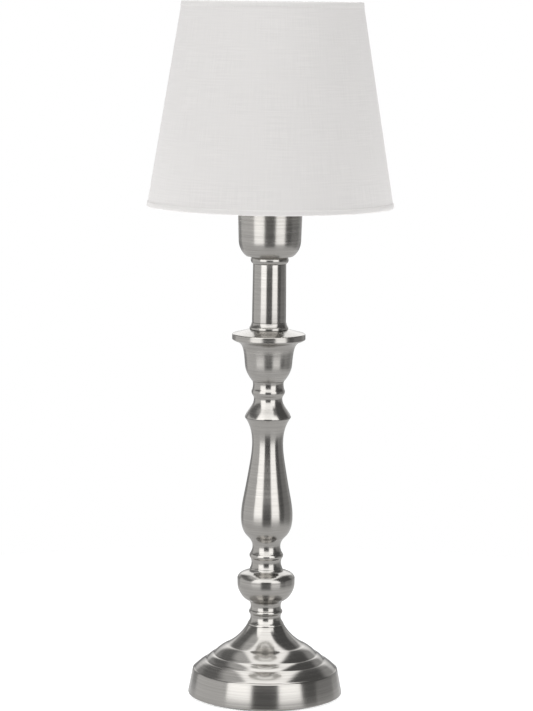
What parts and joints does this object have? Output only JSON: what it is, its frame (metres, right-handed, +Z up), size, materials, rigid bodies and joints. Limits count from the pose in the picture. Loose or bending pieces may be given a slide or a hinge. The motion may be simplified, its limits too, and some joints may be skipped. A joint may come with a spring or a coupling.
{
  "type": "table lamp",
  "caption": "Table lamp shaped as a candlestick: stepped round foot, turned metal stem, drip pan and candle tube, and a tapered linen drum shade.",
  "frame": {"origin": "middle of the felt pad's underside, on the table", "axes": "+Z up along the stem; the cord inlet faces +Y, the back"},
  "size_m": [0.1994, 0.1994, 0.5635],
  "materials": {
    "brushed_nickel": "fine circumferential brushing",
    "polished_nickel": "polished with faint turning marks",
    "felt": "dense wool felt",
    "base_steel": "matt black paint",
    "cast_ballast": "rough casting",
    "black_plastic": "moulded, matt",
    "zinc_steel": "zinc plated",
    "white_plastic": "moulded, satin",
    "porcelain": "glazed",
    "brass": "bare",
    "linen": "plain woven linen with slubs",
    "white_liner": "smooth white film",
    "white_wire": "white powder coat",
    "solder": "solder bead",
    "opal_glass": "opal white",
    "bulb_aluminium": "rolled sheet",
    "black_vitrite": "black glass insulator",
    "stem_glass": "clear",
    "tungsten": "fine wire"
  },
  "bodies": {
    "base": {"felt_pad": "felt", "cover_plate": "base_steel", "base_weight": "cast_ballast", "foot_shell": "polished_nickel", "cord_inlet": "black_plastic", "threaded_rod": "zinc_steel", "rod_washer": "zinc_steel", "rod_nut": "zinc_steel", "lower_neck": "brushed_nickel", "bowl": "brushed_nickel", "upper_neck": "brushed_nickel", "vase": "brushed_nickel", "knuckle": "brushed_nickel", "candle_socket": "brushed_nickel", "drip_pan": "brushed_nickel", "lower_collar": "brushed_nickel", "candle_tube": "brushed_nickel", "upper_collar": "brushed_nickel", "lampholder_cup": "brushed_nickel", "cup_washer": "zinc_steel", "cup_nut": "zinc_steel", "lampholder_cap": "white_plastic", "lampholder_skirt": "white_plastic", "contact_block": "porcelain", "terminal_screws": "brass", "screw_shell": "brass", "centre_contact": "brass", "side_contact": "brass"},
    "shade": {"shade_fabric": "linen", "shade_liner": "white_liner", "top_hem": "linen", "bottom_hem": "linen", "top_wire": "white_wire", "bottom_wire": "white_wire", "fitter_ring": "white_wire", "fitter_arm_1": "white_wire", "fitter_arm_2": "white_wire", "fitter_arm_3": "white_wire"},
    "shade_ring": {"shade_ring": "white_plastic"},
    "bulb_tip": {"bulb_contact": "solder"},
    "bulb": {"bulb_glass": "opal_glass", "bulb_cap": "bulb_aluminium", "bulb_insulator": "black_vitrite", "bulb_stem": "stem_glass", "bulb_filament": "tungsten"}
  },
  "joints": [
    {"name": "shade_turn", "type": "hinge", "parent": "base", "child": "shade", "pos_m": [0, 0, 0.4145], "axis": [0, 0, 1], "continuous": true},
    {"name": "ring_lift", "type": "slide", "parent": "base", "child": "shade_ring", "axis": [0, 0, 1], "range_m": [0, 0.0125]},
    {"name": "bulb_lift", "type": "slide", "parent": "base", "child": "bulb_tip", "axis": [0, 0, 1], "range_m": [0, 0.01453]},
    {"name": "bulb_turn", "type": "hinge", "parent": "bulb_tip", "child": "bulb", "pos_m": [0, 0, 0.42], "axis": [0, 0, 1], "range_deg": [0, 1440]}
  ],
  "couplings": [
    {"joint": "bulb_lift", "follows": "bulb_turn", "m_per_rad": 0.00057773}
  ]
}
